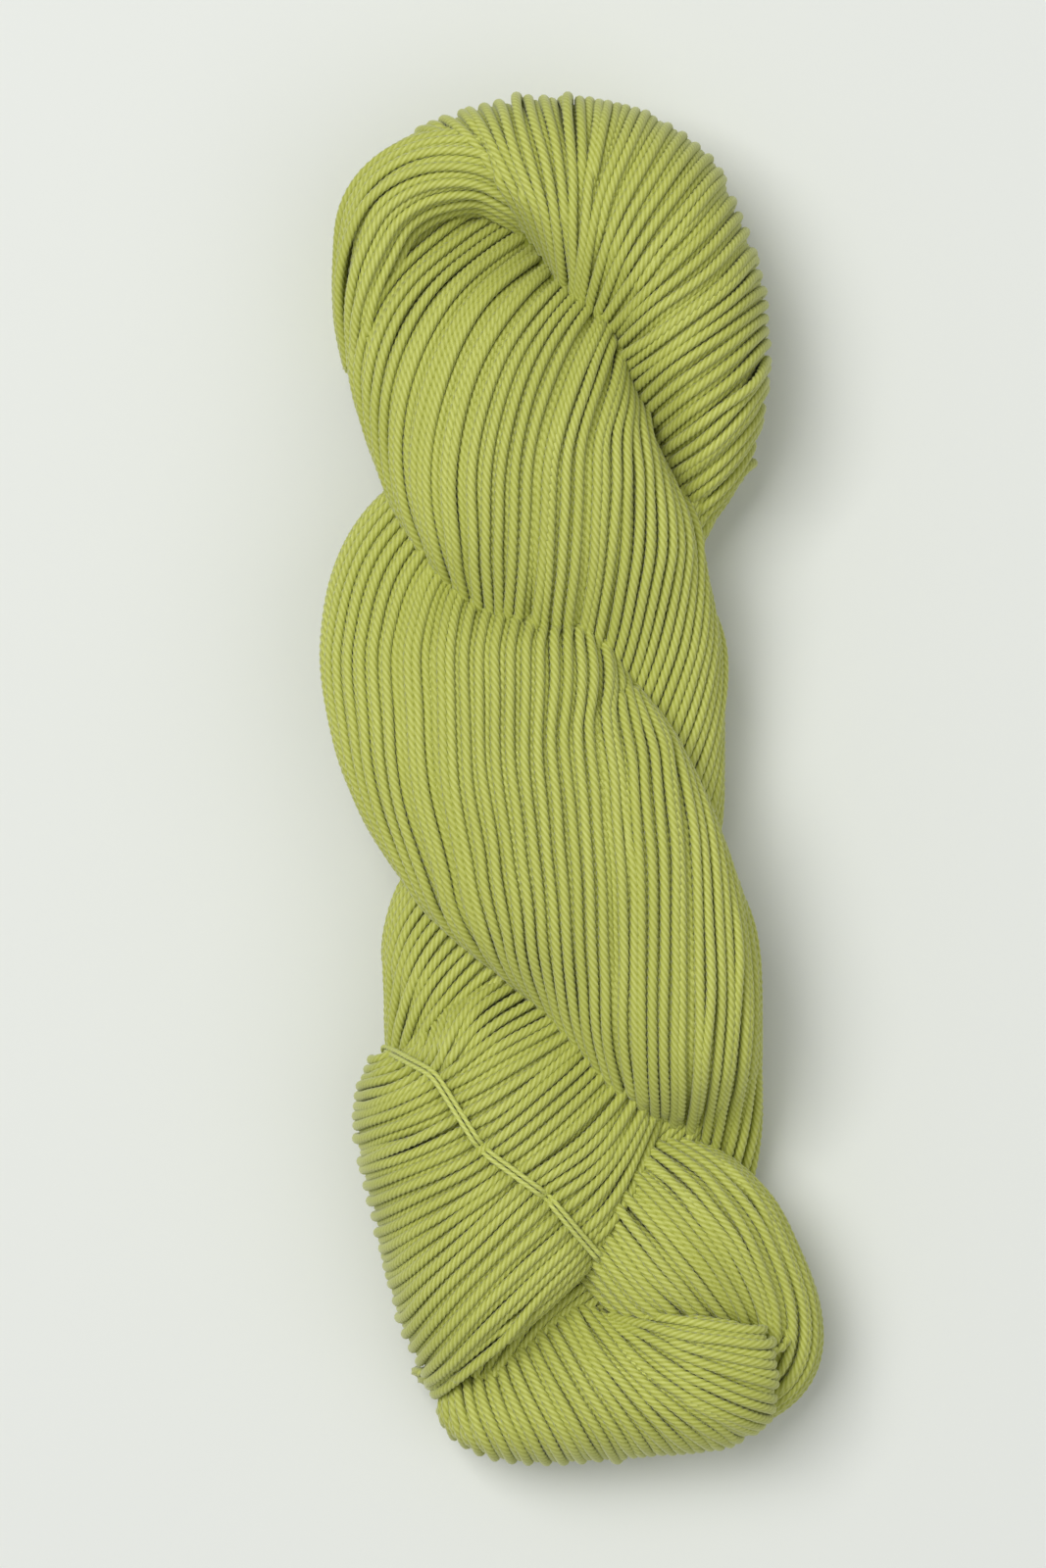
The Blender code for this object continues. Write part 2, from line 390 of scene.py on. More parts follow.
@dataclass
class FannedLobe(Bundle):
    """A bundle whose strands fan out of a crease, over a crest and round an edge.

    The shoulder is the share of each rib past its crest, and the drift is how many
    columns each strand moves along the edge as it goes over it.
    """

    ribs: list[Rib]
    shoulder: float
    drift: float

    PLAN_STEPS = 16
    PLAN_SPACING = 0.8
    PLAN_EASING = 60
    TOP_STEPS = 40
    EDGE_STEPS = 30
    UNDER_STEPS = 24
    RIB_STEPS = 10
    COLUMN_SPACING = 1.0
    DRIFT_FROM = 0.35

    def rib_path(self, rib: Rib, inset: float) -> np.ndarray:
        """The places along one rib, from its crease to its end beneath.

        Args:
            rib: The rib.
            inset: How far inside the strands' middles it lies, in millimetres.

        Returns:
            The points of the top, the edge and the way back beneath.
        """
        dense = smooth_steps(np.array(rib.plan, float), self.PLAN_STEPS)
        route = eased(even_rows(dense, self.PLAN_SPACING, 2), self.PLAN_EASING)
        run = lengths_along(route)
        length = run[-1]
        share = self.shoulder
        rise = np.linspace(0, 1 - share, self.TOP_STEPS)
        lift = np.sin(np.pi / 2 * rise / (1 - share))
        top_z = rib.inner_z + (rib.crest_z - rib.inner_z) * lift
        turn = np.linspace(0, np.pi / 2, self.EDGE_STEPS)[1:]
        out = 1 - share + (share - inset / length) * np.sin(turn) ** POWER
        out_z = rib.edge_z + (rib.crest_z - inset - rib.edge_z) * np.maximum(np.cos(turn), 0) ** POWER
        plan = read_at(route, run, np.concatenate([rise, out]) * length)
        height = np.concatenate([top_z - inset, out_z])
        back = np.linspace(0, np.pi / 2, self.UNDER_STEPS)[1:]
        inward = (1 - np.maximum(np.cos(back), 0) ** POWER)[:, None]
        below = plan[-1] + (np.array(rib.under) - plan[-1]) * inward
        below_z = rib.edge_z - (rib.edge_z - rib.under_z - inset) * np.sin(back) ** POWER
        return np.column_stack([np.vstack([plan, below]), np.concatenate([height, below_z])])

    def grid(self, inset: float) -> np.ndarray:
        """The surface as rows along the strands and columns across them.

        Args:
            inset: How far inside the strands' middles it lies, in millimetres.

        Returns:
            The points, rows first.
        """
        paths = np.array([self.rib_path(rib, inset) for rib in self.ribs])
        count = paths.shape[1]
        dense = smooth_steps(paths.reshape(len(paths), -1), self.RIB_STEPS)
        # Columns stand evenly over the edge, halfway up the top and at the crest, all
        # taken together.  The edge counts twice, and halving keeps the spacing.
        over = self.TOP_STEPS + self.EDGE_STEPS - 2
        stops = [self.TOP_STEPS // 2, self.TOP_STEPS, over, over]
        marks = dense.reshape(-1, count, 3)[:, stops].reshape(len(dense), -1)
        width = marks.shape[1]
        flat = np.hstack([marks / 2, dense])
        even = even_rows(flat, self.COLUMN_SPACING, width)[:, width:].reshape(-1, count, 3)
        return even.transpose(1, 0, 2)

    def lay(self) -> Lay:
        """The surface that the strands' middles lie on.

        Returns:
            The surface, with its rows evenly spaced along each column.
        """
        grid = self.grid(0.0)
        widest = np.linalg.norm(np.diff(grid, axis=0), axis=2).sum(axis=0)
        rows = int(widest.max() / ROW_SPACING)
        paths = []
        for column in grid.transpose(1, 0, 2):
            run = lengths_along(column)
            paths.append(read_at(column, run, np.linspace(0, run[-1], rows)))
        return Lay(np.array(paths).transpose(1, 0, 2), closed_across=False)

    def courses(self, lay: Lay) -> np.ndarray:
        """Column numbers of each strand at each row, drifting along the edge.

        Args:
            lay: The surface that the columns are of.

        Returns:
            The numbers, strands first.
        """
        rows, cols = lay.points.shape[:2]
        share = np.linspace(0, 1, rows)
        slide = self.drift * np.maximum(share - self.DRIFT_FROM, 0) / (1 - self.DRIFT_FROM)
        return np.linspace(0, cols - 1, self.strands)[:, None] + slide[None]

    def hull(self, inset: float) -> tuple[np.ndarray, np.ndarray]:
        """A closed mesh inside the surface, with fewer points than it."""
        return close_tube(self.grid(inset)[::3, ::3].transpose(1, 0, 2))


# Almost straight up, so that the line meets no edge of a shell end on.
UP = Vector((0.0, 0.02, 1.0)).normalized()
NUDGE = 0.01


def inside(hull: BVHTree, point: np.ndarray) -> bool:
    """Whether a point lies inside a closed shell.

    The nearest face settles most points.  A line straight up, which leaves the shell
    once more than it enters it, confirms the rest.

    Args:
        hull: The shell.
        point: The point.

    Returns:
        True where the point is inside.
    """
    start = Vector(point)
    place, normal, _, _ = hull.find_nearest(start)
    if (start - place).dot(normal) >= 0:
        return False
    leaving = 0
    while True:
        place, normal, _, _ = hull.ray_cast(start, UP)
        if place is None:
            return leaving > 0
        leaving += 1 if normal.dot(UP) > 0 else -1
        start = place + UP * NUDGE


@dataclass(frozen=True)
class Press:
    """A line along which a bundle's upper side is pressed in, in plan millimetres.

    It starts at the height above, and is in full that much higher as fade says.
    """

    bundle: str
    line: tuple[tuple[float, float], ...]
    depth: float
    width: float
    above: float = 20.0
    fade: float = 6.0

    def dip(self, points: np.ndarray) -> np.ndarray:
        """How far down each point goes.

        Args:
            points: The points, with x, y and z last.

        Returns:
            The depths, in millimetres.
        """
        nearest = np.full(points.shape[:-1], np.inf)
        for start, end in zip(self.line, self.line[1:]):
            start, run = np.array(start), np.subtract(end, start)
            share = np.clip(((points[..., :2] - start) @ run) / (run @ run), 0, 1)
            away = np.linalg.norm(points[..., :2] - start - share[..., None] * run, axis=-1)
            nearest = np.minimum(nearest, away)
        fall = np.clip((points[..., 2] - self.above) / self.fade, 0, 1)
        return self.depth * fall * np.exp(-((nearest / self.width) ** 2))


@dataclass
class StrandWinder:
    """Lays the strands of a bundle and keeps the runs of them that can be seen.

    Amounts are in yarn widths.  Waves are in strands across and millimetres along.
    """

    gauge: YarnGauge
    presses: list[Press]
    bunching: float = 0.12
    waver: float = 0.07
    lift: float = 0.10
    rider_share: float = 0.12
    squeeze: float = 0.86
    under_depth: float = 0.82

    # The waves of the bunching and the waver, and the two of the lift.
    WAVES = ((3.0, 14.0), (1.0, 11.0), (1.0, 13.0), (3.0, 22.0))
    SECOND_SINK = 1.1
    RIDER_ZONE = (0.1, 0.9)
    RIDER_REACH = (7.0, 13.0)
    RIDER_UP = 0.5
    RIDER_DOWN = 0.25
    OVERLAP = (1, 2)
    SHORTEST_RUN = 5

    def gaps(self, paths: np.ndarray, closed: bool) -> tuple[np.ndarray, np.ndarray]:
        """Measures how far apart neighbouring strands run.

        Args:
            paths: Points of every strand, strands first.
            closed: Whether the last strand is next to the first.

        Returns:
            Each strand's mean gap to its neighbours, and the direction across.
        """
        along = unit(np.gradient(paths, axis=1))
        if closed:
            step = (np.roll(paths, -1, axis=0) - np.roll(paths, 1, axis=0)) / 2
        else:
            step = np.gradient(paths, axis=0)
        step = step - along * (step * along).sum(axis=2, keepdims=True)
        return np.linalg.norm(step, axis=2), unit(step)

    def wind(self, bundle: Bundle, lay: Lay, course: Course) -> np.ndarray:
        """Lays every strand of one course.

        Args:
            bundle: The bundle to lay.
            lay: Its surface.
            course: The outer course or the one under it.

        Returns:
            The points of every strand, strands first.
        """
        cols = bundle.courses(lay)
        if course is Course.UNDER:
            cols = (cols[:-1] + cols[1:]) / 2
        rows = np.broadcast_to(np.arange(lay.points.shape[0], dtype=float), cols.shape)
        paths, normals = lay.sample(rows, cols)
        gap, across = self.gaps(paths, lay.closed_across)
        width = self.gauge.diameter
        # Where strands crowd, every other one sinks, and then every other of those.
        tight = np.clip(gap / (width * self.squeeze), 0, 1)
        first = np.sqrt(1 - tight ** 2)
        second = np.sqrt(1 - np.clip(2 * tight, 0, 1) ** 2)
        number = np.arange(len(paths))[:, None]
        sink = first * (number % 2) + self.SECOND_SINK * second * (number % 4 >= 2)
        seed = bundle.seed * 10 + (5 if course is Course.UNDER else 0)
        shape = cols.shape
        bunch, waver, lift, swell = (
            soft_noise(shape, (strands, length / ROW_SPACING), seed + own)
            for own, (strands, length) in enumerate(self.WAVES)
        )
        aside = self.bunching * bunch + self.waver * waver
        raised = self.lift * lift + self.lift * swell
        if course is Course.OUTER:
            swapped, lifted = self.riders(shape, seed + 4)
            aside += swapped * gap / width
            raised += lifted
        depth = self.under_depth if course is Course.UNDER else 0.0
        out = (raised - sink - depth) * width
        paths = paths + normals * out[..., None] + across * (aside * width)[..., None]
        for press in self.presses:
            if press.bundle == bundle.name:
                paths[..., 2] -= press.dip(paths)
        paths[..., 2] = np.maximum(paths[..., 2], TABLE_REST)
        return paths

    def riders(self, shape: tuple[int, int], seed: int) -> tuple[np.ndarray, np.ndarray]:
        """Makes a few strands change places with a neighbour, one passing over the other.

        Args:
            shape: Strands and rows.
            seed: The fixed seed.

        Returns:
            The sideways shift in strand gaps and the upward shift in yarn widths.
        """
        rng = np.random.default_rng(seed)
        aside, up = np.zeros(shape), np.zeros(shape)
        row = np.arange(shape[1])
        strand = 1
        while strand < shape[0] - 1:
            strand += 1 + int(rng.exponential(1 / self.rider_share))
            if strand >= shape[0] - 1:
                break
            middle = rng.uniform(*self.RIDER_ZONE) * shape[1]
            reach = rng.uniform(*self.RIDER_REACH) / ROW_SPACING
            swap = 0.5 * (1 + np.tanh((row - middle) / reach))
            pass_over = np.exp(-(((row - middle) / reach) ** 2))
            aside[strand] += swap
            aside[strand + 1] -= swap
            up[strand] += self.RIDER_UP * pass_over
            up[strand + 1] -= self.RIDER_DOWN * pass_over
            strand += 1
        return aside, up

    def visible_runs(self, paths: np.ndarray, hulls: list[BVHTree]) -> list[np.ndarray]:
        """Cuts away what lies deep inside the other bundles.

        Args:
            paths: The points of every strand.
            hulls: The other bundles' shells.

        Returns:
            The runs of strand that are left.
        """
        runs = []
        for path in paths:
            seen = np.array([not any(inside(hull, point) for hull in hulls) for point in path])
            wide = seen.copy()
            for shift in self.OVERLAP:
                wide[shift:] |= seen[:-shift]
                wide[:-shift] |= seen[shift:]
            edges = np.flatnonzero(np.diff(np.concatenate([[0], wide.view(np.int8), [0]])))
            for start, end in zip(edges[::2], edges[1::2]):
                if end - start >= self.SHORTEST_RUN:
                    runs.append(path[start:end])
        return runs


def linked(name: str, data: bpy.types.ID) -> bpy.types.Object:
    """Makes an object of some data and links it into the scene.

    Args:
        name: The object's name.
        data: Its mesh, light or camera.

    Returns:
        The object.
    """
    made = bpy.data.objects.new(name, data)
    bpy.context.collection.objects.link(made)
    return made


def add_node(
    tree: bpy.types.NodeTree, kind: str, settings: dict[str, object] | None = None, **links: object
) -> bpy.types.Node:
    """Adds one node with its settings, values and links.

    Args:
        tree: The tree it goes in.
        kind: The node's type.
        settings: The node's own properties.
        links: Inputs, by name with _ for a space or by number as i0, and for each its
            value or the socket that feeds it.

    Returns:
        The new node.
    """
    node = tree.nodes.new(kind)
    for name, value in (settings or {}).items():
        setattr(node, name, value)
    for name, value in links.items():
        key = int(name[1:]) if name[0] == "i" and name[1:].isdigit() else name.replace("_", " ")
        socket = node.inputs[key]
        if isinstance(value, bpy.types.NodeSocket):
            tree.links.new(value, socket)
        else:
            socket.default_value = value
    return node


def linear(hex_colour: str) -> tuple[float, float, float, float]:
    """Turns an sRGB hex colour into linear red, green and blue, with an alpha of one."""
    parts = [int(hex_colour[i:i + 2], 16) / 255 for i in (1, 3, 5)]
    return (*(p / 12.92 if p <= 0.04045 else ((p + 0.055) / 1.055) ** 2.4 for p in parts), 1.0)


@dataclass(frozen=True)
class PliedYarnFinish:
    """Soft plied yarn, spun and coloured with dye: a matt body with a light lustre on each ply.

    The grooves between plies are darker and deeper green: painted shade between the plies.
    Each strand differs a little in tone, as yarn coloured with dye does.
    """

    name: str
    crest: str
    groove: str
    dark: str
    roughness: float = 0.62
    sheen: float = 0.25

    TONE_SHARE = 0.5
    CLOUDS_PER_METRE = 60.0
    FIBRES_PER_METRE = 3200.0

    def material(self) -> bpy.types.Material:
        """Builds the material.

        Returns:
            The material, which reads the yarn's own ply_crest and tone.
        """
        made = bpy.data.materials.new(self.name)
        made.use_nodes = True
        made.node_tree.nodes.clear()
        add = partial(add_node, made.node_tree)
        tone = add("ShaderNodeAttribute", {"attribute_name": "tone"})
        crest = add("ShaderNodeAttribute", {"attribute_name": "ply_crest"})
        place = add("ShaderNodeTexCoord").outputs["Object"]
        # Dye takes unevenly over a centimetre or two.
        cloud = add("ShaderNodeTexNoise", Vector=place, Scale=self.CLOUDS_PER_METRE, Detail=2.0)
        # Fibres are drawn about 0.3 mm apart, coarse enough to show.
        fibre = add("ShaderNodeTexNoise", Vector=place, Scale=self.FIBRES_PER_METRE, Detail=3.0)
        mix = partial(add, "ShaderNodeMix", {"data_type": "RGBA"})
        # Painted shade: by ply_crest, the grooves between plies take the darker groove colour and the
        # plies' crests take the lighter crest colour.
        body = mix(i0=crest.outputs["Fac"], i6=linear(self.groove), i7=linear(self.crest))
        uneven = add(
            "ShaderNodeMath", {"operation": "MULTIPLY_ADD"},
            i0=tone.outputs["Fac"], i1=self.TONE_SHARE, i2=cloud.outputs["Fac"],
        )
        shade = add(
            "ShaderNodeMapRange",
            Value=uneven.outputs[0], From_Min=0.35, From_Max=1.15, To_Max=0.34,
        )
        # The random tone of the dye goes over the painted groove shade.
        dye_and_groove_shade = mix(i0=shade.outputs[0], i6=body.outputs[2], i7=linear(self.dark))
        bump = add("ShaderNodeBump", Height=fibre.outputs["Fac"], Strength=0.35, Distance=0.00012)
        shader = add(
            "ShaderNodeBsdfPrincipled",
            Base_Color=dye_and_groove_shade.outputs[2], Roughness=self.roughness, Specular_IOR_Level=0.35,
            Normal=bump.outputs[0], Sheen_Weight=self.sheen, Sheen_Roughness=0.4,
        )
        add("ShaderNodeOutputMaterial", Surface=shader.outputs[0])
        return made


@dataclass
class YarnMaker:
    """Turns strand paths into plied yarn with a Geometry Nodes tree."""

    gauge: YarnGauge
    material: bpy.types.Material
    name: str = "plied_yarn_maker"
    tree: bpy.types.NodeTree = field(init=False)

    # How far apart in turn, in radians, two strands' plies may start.
    PHASE_SPREAD = 40.0

    def __post_init__(self) -> None:
        """Builds the tree that takes paths in and gives twisted, lobed yarn."""
        tree = bpy.data.node_groups.new(self.name, "GeometryNodeTree")
        add = partial(add_node, tree)
        face = tree.interface
        face.new_socket("Geometry", in_out="OUTPUT", socket_type="NodeSocketGeometry")
        for label, kind in (
            ("Geometry", "Geometry"), ("Diameter", "Float"), ("Plies", "Int"), ("Groove", "Float"),
            ("Turn Per Metre", "Float"), ("Step", "Float"), ("Seed", "Int"), ("Material", "Material"),
        ):
            face.new_socket(label, in_out="INPUT", socket_type="NodeSocket" + kind)
        given = add("NodeGroupInput").outputs
        curve = add("GeometryNodeMeshToCurve", Mesh=given["Geometry"])
        curve = add(
            "GeometryNodeCurveSplineType", {"spline_type": "CATMULL_ROM"}, Curve=curve.outputs[0]
        )
        curve = add(
            "GeometryNodeResampleCurve", {"mode": "LENGTH"},
            Curve=curve.outputs[0], Length=given["Step"],
        )
        # Each strand has its own tone, which also turns its plies by its own amount.
        tone = add("FunctionNodeRandomValue", Seed=given["Seed"])
        curve = add(
            "GeometryNodeStoreNamedAttribute", {"domain": "CURVE"},
            Geometry=curve.outputs[0], Name="tone", Value=tone.outputs[1],
        )
        curve = add("GeometryNodeSetCurveNormal", {"mode": "MINIMUM_TWIST"}, Curve=curve.outputs[0])
        run = add("GeometryNodeSplineParameter")
        times = partial(add, "ShaderNodeMath", {"operation": "MULTIPLY"})
        turned = times(i0=run.outputs["Length"], i1=given["Turn Per Metre"])
        own = add("GeometryNodeInputNamedAttribute", Name="tone")
        phase = add(
            "ShaderNodeMath", {"operation": "MULTIPLY_ADD"},
            i0=own.outputs[0], i1=self.PHASE_SPREAD, i2=turned.outputs[0],
        )
        curve = add("GeometryNodeSetCurveTilt", Curve=curve.outputs[0], Tilt=phase.outputs[0])
        # The section is a star whose points are the plies.
        outer = times(i0=given["Diameter"], i1=0.5)
        inner = times(i0=outer.outputs[0], i1=given["Groove"])
        star = add(
            "GeometryNodeCurveStar",
            Points=given["Plies"], Inner_Radius=inner.outputs[0], Outer_Radius=outer.outputs[0],
        )
        # ply_crest is 1 on the plies' crests and 0 in the grooves; the finish uses it to paint shade
        # into the grooves.
        profile = add(
            "GeometryNodeStoreNamedAttribute",
            Geometry=star.outputs[0], Name="ply_crest", Value=star.outputs[1],
        )
        mesh = add(
            "GeometryNodeCurveToMesh",
            Curve=curve.outputs[0], Profile_Curve=profile.outputs[0], Fill_Caps=True,
        )
        mesh = add("GeometryNodeSetShadeSmooth", Geometry=mesh.outputs[0])
        mesh = add("GeometryNodeRealizeInstances", Geometry=mesh.outputs[0])
        mesh = add("GeometryNodeSetMaterial", Geometry=mesh.outputs[0], Material=given["Material"])
        add("NodeGroupOutput", i0=mesh.outputs[0])
        self.tree = tree

    def make(
        self, name: str, runs: list[np.ndarray], seed: int, coarse: float = 1.0
    ) -> bpy.types.Object:
        """Makes one piece of yarn mesh from its strands' paths.

        Args:
            name: The piece's name.
            runs: Each strand's points, in metres.
            seed: The fixed seed of its tones.
            coarse: How much longer than usual each step along the yarn is.

        Returns:
            A plain mesh object.
        """
        points = np.vstack(runs)
        starts = np.cumsum([0] + [len(run) for run in runs[:-1]])
        edges = np.vstack([
            np.column_stack([np.arange(len(run) - 1), np.arange(1, len(run))]) + start
            for run, start in zip(runs, starts)
        ])
        data = bpy.data.meshes.new(name + "_paths")
        data.from_pydata(points.tolist(), edges.tolist(), [])
        guide = linked(name + "_paths", data)
        modifier = guide.modifiers.new("yarn", "NODES")
        modifier.node_group = self.tree
        sockets = {item.name: item.identifier for item in self.tree.interface.items_tree
                   if item.in_out == "INPUT"}
        gauge = self.gauge
        values = {
            "Diameter": gauge.diameter * MM,
            "Plies": gauge.plies,
            "Groove": gauge.groove,
            "Turn Per Metre": gauge.twist.value * 2 * math.pi / (gauge.pitch * MM),
            "Step": gauge.step * coarse * MM,
            "Seed": seed,
            "Material": self.material,
        }
        for label, value in values.items():
            modifier[sockets[label]] = value
        bpy.context.view_layer.update()
        graph = bpy.context.evaluated_depsgraph_get()
        mesh = bpy.data.meshes.new_from_object(guide.evaluated_get(graph))
        mesh.name = name
        bpy.data.objects.remove(guide, do_unlink=True)
        return linked(name, mesh)


# The bundles' stations: x, y, z, half width and half height, and the lean in degrees.
# The two plies cross between the tucked loop's neck and the fold.
FIRST_PLY = [
    (-31, -64, 7, 5, 4, 10), (-29.5, -55, 15, 5.5, 8, 10), (-26.5, -46, 19, 9.5, 11, 10),
    (-20.5, -36, 20, 17.5, 13, 10), (-12, -26, 19, 21, 14, 14), (-1, -17, 17, 22, 14, 20),
    (8, -6, 16, 20, 13, 28), (11, 8, 17, 17, 13.5, 28), (9, 22, 20, 19, 14.5, 33),
    (3, 36, 27, 22.5, 16.5, 32), (-4, 49, 32, 23.5, 17, 31), (-10, 60, 32.5, 24.5, 17, 32),
    (-14, 71, 30, 25, 18, 33), (-16.5, 82, 27, 25.5, 17, 34), (-17, 92, 23, 24, 16, 34),
    (-15.5, 101, 17, 20, 13.5, 30), (-12, 109, 12, 16, 10.5, 26),
]
SECOND_PLY = [
    (21, 88, 17, 10.5, 10, 14), (21, 78, 17.5, 11, 10.5, 16), (20, 68, 17, 11.5, 11, 18),
    (14, 56, 16, 14, 11.5, 16), (4, 48, 16, 19.5, 13.5, 8), (-10, 44, 17, 22, 15, 2),
    (-20, 37, 20, 24, 17, 5), (-21.5, 27, 26, 26, 19, 11), (-18.5, 16, 30, 27.5, 18, 19),
    (-13, 4, 32, 28, 17, 27), (-4, -8, 34, 28, 16, 32), (5, -20, 34, 25, 16, 31),
    (12, -32, 31, 21.5, 16, 26), (17, -44, 28, 18.5, 17, 19), (20.5, -56, 23, 15, 16, 12),
    (22.5, -66, 13, 13, 11.5, 9), (23, -77, 8, 11, 7, 9),
]
SHOULDER = [
    (0, 108, 19, 8, 14, 8), (-9, 113, 23, 8, 15, 8), (-18, 116, 23, 8, 16, 10),
    (-28, 114, 22, 8.5, 17, 12), (-35, 108, 21, 8, 18, 14), (-38, 99, 20, 6.5, 18, 14),
    (-39.5, 89, 19, 5, 17, 12), (-39, 79, 18, 4, 14, 10),
]
OUTER_END = [
    (-4, -72, 13, 12, 11, 18), (8, -80, 18.5, 16, 16, 18), (18, -86, 20.5, 18, 18, 18),
    (27, -92, 20, 16, 17.5, 18), (35.5, -101, 17, 11, 14.5, 18), (37.5, -109.5, 14, 9, 12, 14),
    (33, -115.5, 12, 7.5, 10.5, 12), (24, -118.5, 10.5, 7, 9, 10),
]
BACK_LEG = [
    (-14, -114, 13, 11, 12, 20), (-10, -98, 14, 17, 13, 20), (-2, -84, 15, 18, 13, 20),
    (10, -68, 15, 15, 13, 20), (18, -56, 14, 12, 11, 20),
]

# The lobes' ribs: the folded end, the tucked loop and the outer loop's end.
FOLD_RIBS = [Rib(*row) for row in (
    (((-12, 108), (-16.5, 115.5), (-22.8, 122), (-29.5, 124)), (-22, 112), 28, 35, 17),
    (((-8, 103.5), (-13.5, 113), (-18.5, 121), (-23.4, 126.6)), (-17, 111), 30, 40, 19),
    (((-3, 95.5), (-7.3, 106), (-11, 115.5), (-14.7, 128.8)), (-10, 109), 30, 44, 21),
    (((-0.5, 88), (-0.6, 105.8), (-1.8, 118.2), (-3.6, 129.8)), (-2, 108), 30, 45, 22),
    (((1, 86), (4.4, 105.8), (9.3, 118.2), (13, 127)), (8, 104), 30, 45, 22),
    (((3, 83.5), (12, 100), (19, 109.5), (25.5, 118.5)), (15, 99), 30, 45, 22),
    (((5, 81), (14, 89.5), (24.7, 98), (31.5, 107)), (19, 91), 29, 45, 22),
    (((7, 74.5), (15.5, 81.2), (27.5, 89.5), (34.8, 98)), (20, 86), 28, 44, 21),
    (((9.5, 70.5), (18.6, 78.1), (29.7, 86), (36, 91.5)), (21, 80), 27, 43, 21),
    (((12, 66), (21.7, 73.1), (32, 81.2), (36.6, 86)), (21, 74), 25, 41, 20),
    (((15, 59.5), (23.5, 65.1), (32.3, 73.1), (36.8, 80)), (21, 68), 23, 38, 19),
    (((17, 54.5), (24.7, 59.6), (32.3, 67), (36.5, 74)), (21, 63), 21, 34, 17),
    (((19, 50), (24.7, 54), (30.9, 60.8), (35.3, 68)), (20, 59), 19, 29, 15),
    (((20, 47), (24.5, 49.7), (30, 55.9), (33.4, 62)), (19, 55), 16, 23, 12),
    (((20.5, 45), (24, 47.5), (28.5, 53), (31.5, 58)), (18, 52), 12, 16, 9),
)]
FAN_RIBS = [Rib(*row) for row in (
    (((-29, -46), (-31, -50.5), (-38.5, -53.2)), (-27, -58), 22, 25, 12, 6),
    (((-28, -44.5), (-29.2, -51.5), (-39.6, -55.6)), (-26, -61), 25, 30, 13, 6),
    (((-25.5, -42), (-27.2, -53), (-40.6, -58)), (-25, -64), 27, 35, 13, 6),
    (((-20, -38), (-25.6, -48), (-26.5, -54.8), (-41, -60.5)), (-23, -67), 28, 38, 14, 6),
    (((-8, -35), (-19.5, -42), (-24.3, -50), (-25.8, -55.5), (-41.2, -62)), (-22, -69), 28, 40, 14, 6),
    (((2, -40.5), (-13, -48), (-21, -53.5), (-25, -56.5), (-41.4, -64)), (-21, -71), 30, 41, 14, 6),
    (((5.5, -43.5), (-10.5, -54), (-22.5, -61), (-41.4, -68.5)), (-20, -75), 31, 42, 14, 6),
    (((7, -46.5), (-5.8, -57.5), (-17.8, -67), (-39.5, -77)), (-18, -82), 31, 43, 14, 6),
    (((10.5, -52), (-2, -64), (-12.5, -72.3), (-36.8, -87.5)), (-15, -90), 31, 43, 14, 6),
    (((12.5, -54.5), (1, -67), (-9.5, -74.3), (-34.4, -97.5)), (-13, -96), 31, 43, 14, 6),
    (((14, -57), (4.2, -71.5), (-5.5, -77.5), (-24, -96), (-31.8, -106)), (-11, -100), 31, 42, 14, 6),
    (
        ((15, -60), (8, -74), (0, -81.5), (-14.2, -95.1), (-22, -104), (-28.6, -112.5)),
        (-9, -103), 30, 41, 13, 6,
    ),
    (
        ((16, -63), (9.5, -79), (2.2, -87), (-10, -98.5), (-20, -109), (-27.2, -115.8)),
        (-7, -105), 28, 38, 12, 6,
    ),
    (((15.5, -64), (10.5, -80), (4.6, -88.6), (-8, -101.5), (-26.6, -117.3)), (-7, -104), 25, 33, 12, 6),
    (((13.5, -64.5), (8.5, -80), (2.5, -88), (-9.5, -100.5), (-25.4, -116)), (-7, -103), 20, 25, 11, 6),
)]
END_RIBS = [Rib(*row) for row in (
    (((-22.5, -111), (-25.2, -117), (-25.4, -121.5)), (-16, -112), 8, 12, 7),
    (((-23, -110.5), (-25.4, -119.5), (-23, -125)), (-14, -112), 12, 18, 10),
    (((-22, -110.5), (-21.8, -119), (-17.6, -128.4)), (-10, -114), 16, 24, 12),
    (((-18.5, -108), (-16, -119), (-10.8, -129.6)), (-6, -114), 19, 28, 13),
    (((-13.5, -104), (-7.5, -117), (-0.6, -129.8)), (0, -114), 21, 31, 13),
    (((-8.5, -99.5), (0.5, -114.5), (9.1, -128.8)), (6, -113), 21, 33, 13),
    (((-4, -96), (5.5, -112), (18.8, -127.8)), (12, -112), 22, 34, 14),
    (((-0.5, -97), (10.5, -111.5), (28.5, -126.4)), (18, -112), 23, 35, 15),
    (((2.5, -99), (15, -112), (35.3, -123)), (20, -112), 24, 36, 18, 5),
    (((5, -100.5), (18.5, -110.8), (37.6, -119.6)), (22, -112), 25, 37, 24, 14),
    (((6.5, -101), (20.5, -108.5), (37.9, -115)), (22, -111), 25, 38, 30, 22),
    (((7, -101), (20.5, -105.8), (37.7, -109.9)), (22, -109), 26, 39, 32, 25),
    (((7.5, -101), (20.5, -103.2), (36.9, -105.3)), (22, -107), 26, 39, 32.5, 26),
    (((8.5, -101), (19.9, -100.6), (35.6, -103)), (22, -106), 26, 37, 31, 25),
    (((9.5, -101.6), (21.1, -101.8), (34.7, -104)), (22, -106), 24, 32, 28, 24),
)]


# The tie's line over the tucked loop's neck, and its way back beneath with heights.
TIE_OVER = ((-33.5, -51.5), (-26.4, -54.5), (-17.5, -68.4), (-5, -77.6), (4.4, -89))
TIE_BENEATH = [(7, -92, 24), (4, -90, 16), (-9, -77, 12), (-21, -64, 11), (-32, -54, 12), (-36, -51, 17)]
# Where the tie draws the fan in, and a soft valley between two groups of strands.
PRESSES = [
    Press("tucked_loop_fan", TIE_OVER, 2.6, 2.6),
    Press("first_ply", ((17.7, 60), (10, 43), (0, 25)), 0.8, 4.0),
]


